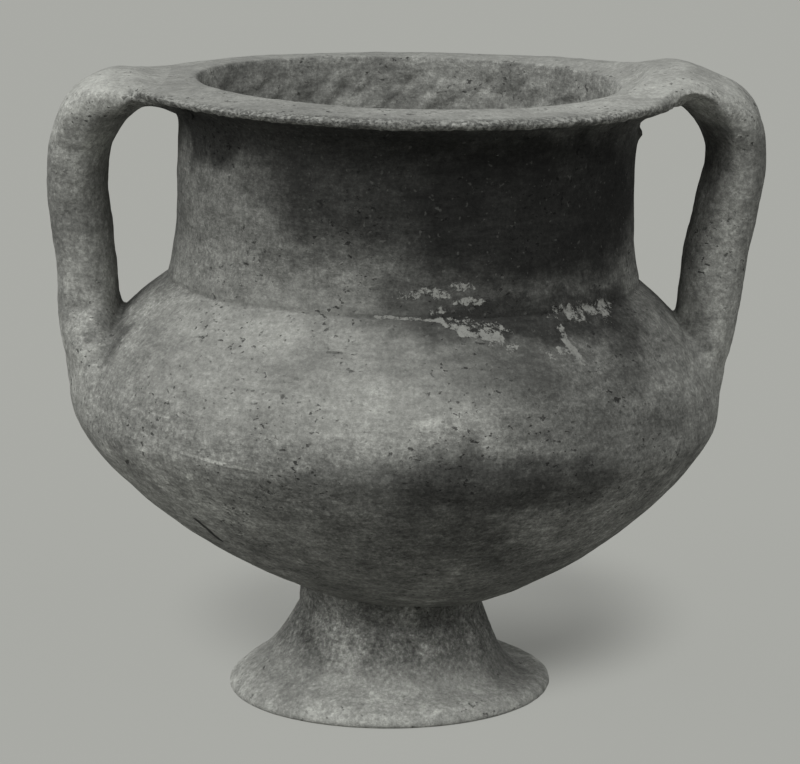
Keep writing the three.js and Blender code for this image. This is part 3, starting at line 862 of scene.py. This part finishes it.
class Tree:
    """Short names for a material's nodes."""

    def __init__(self, material):
        material.use_nodes = True
        self.tree = material.node_tree

    def add(self, kind, inputs=None, **settings):
        node = self.tree.nodes.new("ShaderNode" + kind)
        for name, value in settings.items():
            setattr(node, name, value)
        for name, value in (inputs or {}).items():
            if isinstance(value, bpy.types.NodeSocket):
                self.tree.links.new(value, node.inputs[name])
            else:
                node.inputs[name].default_value = value
        return node

    def math(self, operation, a, b=0.0, c=0.0, clamp=False):
        return self.add("Math", {0: a, 1: b, 2: c}, operation=operation, use_clamp=clamp).outputs[0]

    def times(self, a, b):
        return self.math("MULTIPLY", a, b)

    def times_plus(self, a, b, c):
        return self.math("MULTIPLY_ADD", a, b, c)

    def vector(self, operation, a, b=(0, 0, 0)):
        node = self.add("VectorMath", {0: a, 1: b}, operation=operation)
        return node.outputs["Value" if operation == "LENGTH" else "Vector"]

    def upwards(self, a):
        return self.add("SeparateXYZ", {0: a}).outputs["Z"]

    def remap(self, value, low, high, to_low=0.0, to_high=1.0):
        node = self.add("MapRange", {"Value": value, "From Min": low, "From Max": high,
                                     "To Min": to_low, "To Max": to_high}, interpolation_type="SMOOTHSTEP")
        return node.outputs[0]

    def noise(self, place, scale, detail=3.0, roughness=0.6):
        node = self.add("TexNoise", {"Vector": place, "Scale": scale, "Detail": detail, "Roughness": roughness})
        return node.outputs["Fac"]

    def blob(self, place, centre, reach, soft):
        """1 within the reach round the centre and 0 outside it."""
        away = self.vector("MULTIPLY", self.vector("SUBTRACT", place, centre), [1 / r for r in reach])
        return self.remap(self.vector("LENGTH", away), 1 + soft, 1 - soft)

    def near_line(self, place, start, end, width):
        """1 on the line from start to end and 0 farther from it than width."""
        way = np.subtract(end, start)
        away = self.vector("SUBTRACT", place, start)
        along = self.add("VectorMath", {0: away, 1: list(way / (way @ way))}, operation="DOT_PRODUCT")
        along = along.outputs["Value"]
        along = self.math("MULTIPLY", along, 1.0, clamp=True)
        nearest = self.add("VectorMath", {0: list(way), "Scale": along}, operation="SCALE").outputs["Vector"]
        return self.remap(self.vector("LENGTH", self.vector("SUBTRACT", away, nearest)), width, 0.4 * width)


def clay_material(name, base, rim=0.0, streak=1.0, blotch=0.4):
    """Matt fired clay: its reflectance, how much paler the foot's edge is, how wiped and how blotched it looks."""
    material = bpy.data.materials.new(name)
    tree = Tree(material)
    times, times_plus, remap, vector = tree.times, tree.times_plus, tree.remap, tree.vector
    shader = tree.tree.nodes["Principled BSDF"]
    origin = ((FOOT_AXIS_X + LEAN_OFFSET) * MM, 0, FOOT_HEIGHT * MM)
    place = tree.add("Mapping", {"Vector": tree.add("TexCoord").outputs["Object"], "Location": origin,
                                 "Rotation": (0, LEAN, 0), "Scale": (MM, MM, MM)}, vector_type="TEXTURE").outputs[0]
    height = tree.upwards(place)
    radius = vector("LENGTH", vector("MULTIPLY", place, (1, 1, 0)))
    wander = tree.add("TexNoise", {"Vector": place, "Scale": 0.10, "Detail": 4.0, "Roughness": 0.62})
    wander = vector("SUBTRACT", wander.outputs["Color"], (0.5, 0.5, 0.5))
    ragged = vector("ADD", place, vector("MULTIPLY", wander, (24, 24, 16)))
    frayed = vector("ADD", place, vector("MULTIPLY", wander, (12, 12, 8)))

    # Smoke and painted shade, then paler clay and painted light
    outside = remap(radius, 59.4, 61.2)
    off_lip = tree.math("MAXIMUM", remap(radius, 73.5, 71), remap(height, 139.5, 136.5))
    # The smoke reaches up to the lip's lower edge, where it paints the shade under the lip
    below_lip = times(remap(height, 143.4, 142.2), off_lip)
    drift = tree.upwards(wander)
    on_neck = remap(times_plus(drift, 2.0, height), CREASE[1], CREASE[1] + 1.3)
    smoke_and_painted_shade = 0.0
    for places, where in ((NECK_SMOKE_AND_PAINTED_SHADE, on_neck), (SMOKE_AND_PAINTED_SHADE, 1.0)):
        for centre, reach, strength in places:
            mask = times(tree.blob(ragged, centre, reach, 0.42), strength)
            smoke_and_painted_shade = tree.math("MAXIMUM", smoke_and_painted_shade, times(mask, where))
    smoke_and_shade_there = tree.math("MAXIMUM", times(outside, below_lip), remap(height, 90, 86))
    smoke_and_painted_shade = times(smoke_and_painted_shade, smoke_and_shade_there)
    pale_and_painted_light = 1.0
    for centre, reach, strength in PALE_AND_PAINTED_LIGHT:
        pale_and_painted_light = times_plus(tree.blob(ragged, centre, reach, 0.4), strength, pale_and_painted_light)
    if rim:
        pale_and_painted_light = tree.math("ADD", pale_and_painted_light, remap(height, 2, -20, -0.12, rim))

    # Grain of the clay, weaker where it is worn
    flat = vector("MULTIPLY", place, (1, 1, 4.5))
    mottle = tree.noise(place, 0.075, 7, 0.9)
    blotches = tree.noise(place, 0.05, 3, 0.55)
    streaks = tree.noise(flat, 0.10, 5, 0.85)
    fine = tree.noise(place, 0.85, 3, 0.8)
    facing = tree.upwards(tree.add("NewGeometry").outputs["Normal"])
    on_top = times(remap(facing, 0.5, 0.9), remap(height, 134, 141))
    worn = remap(tree.blob(ragged, (-25, -75, 82), (60, 60, 17), 0.4), 0, 1, 1.0, 0.58)
    worn = times(worn, times_plus(on_top, -0.5, 1.0))
    within = times(remap(radius, 60.2, 59.2), remap(height, 145.9, 145.2))
    worn = times(worn, times_plus(within, -0.1, 1.0))
    worn = times(worn, remap(height, 60, 45, 1.0, 1.2))
    if rim:
        worn = times(worn, remap(height, -5, -15, 1.5, 0.8))
    grain = times(tree.math("SUBTRACT", mottle, 0.5), 2.9)
    grain = times_plus(tree.math("SUBTRACT", streaks, 0.5), 1.9 * streak, grain)
    grain = times_plus(tree.math("SUBTRACT", fine, 0.5), 2.1, grain)
    grain = times_plus(tree.math("SUBTRACT", blotches, 0.5), 2.5 * blotch, grain)
    tone = tree.math("POWER", math.e, times(grain, worn))
    pits = remap(tree.noise(vector("MULTIPLY", place, (1, 1, 1.4)), 0.62, 2, 0.5), 0.635, 0.69)
    clusters = remap(tree.noise(place, 0.055, 3, 0.6), 0.44, 0.62, 0.15, 1)
    pits = times(pits, clusters)
    tone = times(tone, times_plus(pits, -0.72, 1.0))
    # Paler clay and painted light from the blobs above, and a painted highlight on the tops that face up
    tone = times(tone, times_plus(on_top, 0.14, pale_and_painted_light))
    shaded = times_plus(within, remap(height, 145.5, 137, 0.14, 0.06), 1.0)
    tone = times(tone, shaded)
    # Dark line of the seam on the shoulder, then the smoke with its painted shade, and pale specks
    seam = times_plus(drift, 2.0, tree.math("SUBTRACT", height, CREASE[1] + 0.4))
    seam = times(remap(tree.math("ABSOLUTE", seam), 0.9, 0.2), remap(radius, 70, 68))
    seam = times(seam, remap(mottle, 0.42, 0.56, 0.0, 0.4))
    tone = times(tone, tree.math("SUBTRACT", 1.0, seam))
    tone = times(tone, tree.math("SUBTRACT", 1.0, smoke_and_painted_shade))
    specks = remap(tree.noise(vector("ADD", place, (31, 7, 3)), 0.70, 1, 0.5), 0.69, 0.75)
    tone = times_plus(specks, 0.17, tone)

    # Lime crust
    crust = 0.0
    for centre, reach in CRUST:
        crust = tree.math("MAXIMUM", crust, tree.blob(frayed, centre, reach, 0.5))
    bent = vector("ADD", place, vector("MULTIPLY", wander, (5, 5, 5)))
    for start, end, width in STROKES:
        stroke = tree.near_line(bent, start, end, width)
        crust = tree.math("MAXIMUM", crust, times(stroke, 1.25))
    flakes = tree.noise(vector("ADD", place, (3, 50, 9)), 0.42, 5, 0.85)
    crust = remap(times_plus(crust, 0.22, flakes), 0.665, 0.735)
    tone = tree.add("Mix", {"Factor": crust, "A": tone, "B": times_plus(flakes, 1.2, 0.5)},
                    data_type="FLOAT").outputs[0]

    # Grit on the lip's edge, pits and scratches
    edge = times(remap(radius, 70, 74.5), remap(height, 137, 141))
    edge = times(edge, remap(height, 146.2, 144.6))
    edge = times(edge, remap(radius, 79, 77))
    grit = times(remap(tree.noise(place, 0.95, 3, 0.7), 0.46, 0.60), edge)
    tone = times(tone, times_plus(grit, -0.5, 1.0))
    marks = 1.0
    for centre, reach, factor in SPOTS:
        marks = times_plus(tree.blob(frayed, centre, [reach] * 3, 0.35), factor - 1, marks)
    for start, end, width, factor in LINES:
        marks = times_plus(tree.near_line(place, start, end, width), factor - 1, marks)
    tone = times(tone, marks)

    colour = tree.add("VectorMath", {0: [base * c for c in (0.985, 1.0, 0.925)]}, operation="SCALE")
    tree.tree.links.new(tone, colour.inputs["Scale"])
    tree.tree.links.new(colour.outputs[0], shader.inputs["Base Color"])
    shader.inputs["Roughness"].default_value = 0.94
    shader.inputs["Specular IOR Level"].default_value = 0.25
    relief = times_plus(mottle, 0.9, times(fine, 0.5))
    relief = times_plus(streaks, 0.4, relief)
    relief = times_plus(pits, -0.5, relief)
    relief = times_plus(crust, 0.35, relief)
    relief = times_plus(tree.math("MINIMUM", marks, 1.0), 1.0, relief)
    relief = times_plus(grit, -0.8, relief)
    bump = tree.add("Bump", {"Height": relief, "Strength": 0.8, "Distance": 0.0005})
    tree.tree.links.new(bump.outputs[0], shader.inputs["Normal"])
    return material


def dress(piece, material, slot, *nodes):
    piece.data.materials.append(material)
    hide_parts(*nodes)
    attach(piece, "root")


def make_camera():
    data = bpy.data.cameras.new("camera")
    data.sensor_width = CAMERA_SENSOR
    data.lens = CAMERA_LENS
    data.clip_start = 0.01
    camera = bpy.data.objects.new("camera", data)
    camera.location = CAMERA_PLACE
    camera.rotation_euler = (math.pi / 2 - CAMERA_PITCH, 0, 0)
    bpy.context.scene.collection.objects.link(camera)
    bpy.context.scene.camera = camera


def make_stage():
    """A wide plain floor. Its shadow shows round the foot and fades out over FLOOR_FADE."""
    mesh = bpy.data.meshes.new("floor")
    corners = [(x * FLOOR_SIDE, y * FLOOR_SIDE, 0) for x, y in ((-1, -1), (1, -1), (1, 1), (-1, 1))]
    mesh.from_pydata(corners, [], [(0, 1, 2, 3)])
    floor = bpy.data.objects.new("floor", mesh)
    bpy.context.scene.collection.objects.link(floor)
    material = bpy.data.materials.new("floor")
    tree = Tree(material)
    shader = tree.tree.nodes["Principled BSDF"]
    shader.inputs["Roughness"].default_value = 1
    plain = tree.add("Emission", {"Color": (*BACKGROUND, 1), "Strength": 1.0})
    seen = tree.add("LightPath").outputs["Is Camera Ray"]
    colour = tree.add("Mix", {"Factor": seen, 6: (*FLOOR_BOUNCE, 1), 7: (*FLOOR_SEEN, 1)}, data_type="RGBA")
    tree.tree.links.new(colour.outputs[2], shader.inputs["Base Color"])
    away = tree.vector("SUBTRACT", tree.add("TexCoord").outputs["Object"], SHADOW_PLACE)
    away = tree.vector("LENGTH", tree.vector("MULTIPLY", away, (1, 0.75, 0)))
    plainness = tree.remap(away, *FLOOR_FADE, *FLOOR_PLAINNESS)
    mixed = tree.add("MixShader", {0: tree.times(seen, plainness), 1: shader.outputs[0],
                                   2: plain.outputs[0]})
    tree.tree.links.new(mixed.outputs[0], tree.tree.nodes["Material Output"].inputs["Surface"])
    mesh.materials.append(material)


def make_lights():
    """Wide soft suns and a faint white world."""
    for number, (turn, height, strength) in enumerate(LIGHTS):
        data = bpy.data.lights.new("light_%d" % number, "SUN")
        data.energy = strength
        data.angle = math.radians(SUN_ANGLE)
        light = bpy.data.objects.new("light_%d" % number, data)
        turn, height = math.radians(turn), math.radians(height)
        way = Vector((math.sin(turn) * math.cos(height), math.cos(turn) * math.cos(height), -math.sin(height)))
        light.rotation_euler = way.to_track_quat("-Z", "Y").to_euler()
        bpy.context.scene.collection.objects.link(light)
    world = bpy.data.worlds.new("world")
    world.use_nodes = True
    background = world.node_tree.nodes["Background"]
    background.inputs["Color"].default_value = (1, 1, 1, 1)
    background.inputs["Strength"].default_value = WORLD
    bpy.context.scene.world = world


make_camera()
make_stage()
make_lights()
materials = {
    "bowl": clay_material("body_clay", CLAY),
    "neck": clay_material("neck_clay", CLAY),
    # The handles' clay is made 15% paler than the body's: painted light on the handles
    "handle": clay_material("handle_clay", CLAY * 1.15, streak=0.4),
    "foot": clay_material("foot_clay", CLAY, rim=0.48, streak=0.3, blotch=0.45),
    "luting": clay_material("luting_clay", CLAY, rim=0.48, streak=0.3, blotch=0.45),
}
bowl, neck = make_body()
dress(bowl, materials["bowl"], "body_clay", "bowl")
dress(neck, materials["neck"], "neck_clay", "neck")
dress(make_foot(), materials["foot"], "foot_clay", "foot")
dress(make_luting(), materials["luting"], "luting_clay", "foot_luting_ring")
left_strap = Strap(
    unshifted(-1, LEFT_OUTER) + [belly(*p) for p in LEFT_TAIL],
    unshifted(-1, LEFT_INNER) + [belly(*p) for p in TAIL_INNER],
    widths=[(0, 60), (0.12, 52), (0.3, 31), (0.45, 27), (0.6, 28), (0.66, 32), (0.7, 39), (0.75, 50), (0.82, 58),
            (1, 60)],
    recesses=[(0, 1), (0.1, 4), (0.2, 4.5), (0.3, 3), (0.45, 1.6), (0.6, 1), (0.7, 0), (1, 0)],
    powers=[(0, 3), (0.6, 3), (0.7, 2.3), (0.75, 1.8), (0.8, 1.6), (1, 1.6)],
    inner_powers=[(0, 1.9), (0.25, 2.1), (0.5, 2.5), (0.62, 2.6), (0.74, 4), (1, 4)],
    blends=BLENDS,
    smears=[(58, 0), (62, 0.1), (66, 1.0), (70, 2.2), (74, 2.8), (77, 1.6), (80, 0.2), (82, 0)],
)
right_strap = Strap(
    unshifted(1, RIGHT_OUTER) + [belly(*p) for p in RIGHT_TAIL],
    unshifted(1, RIGHT_INNER) + [belly(*p) for p in TAIL_INNER],
    widths=[(0, 64), (0.12, 56), (0.3, 33), (0.45, 28), (0.7, 29), (0.85, 38), (1, 46)],
    recesses=[(0, 1), (0.1, 4), (0.18, 8), (0.28, 7), (0.38, 5), (0.5, 2.6), (0.8, 1.8), (1, 0)],
    powers=[(0, 3), (0.62, 3), (0.72, 2.2), (0.78, 1.6), (1, 1.6)],
    inner_powers=[(0, 1.9), (0.25, 2.1), (0.5, 2.5), (0.7, 2.2), (0.78, 1.6), (1, 1.6)],
    blends=BLENDS,
    smears=[(58, 0), (62, 0), (66, 0.8), (70, 1.8), (74, 2.4), (77, 1.5), (80, 0.2), (82, 0)],
)
dress(make_handle("left_handle_clay", left_strap, -1, 41), materials["handle"], "handle_clay", "left_handle")
dress(make_handle("right_handle_clay", right_strap, 1, 61), materials["handle"], "handle_clay", "right_handle")

bpy.context.scene.view_settings.view_transform = "Standard"
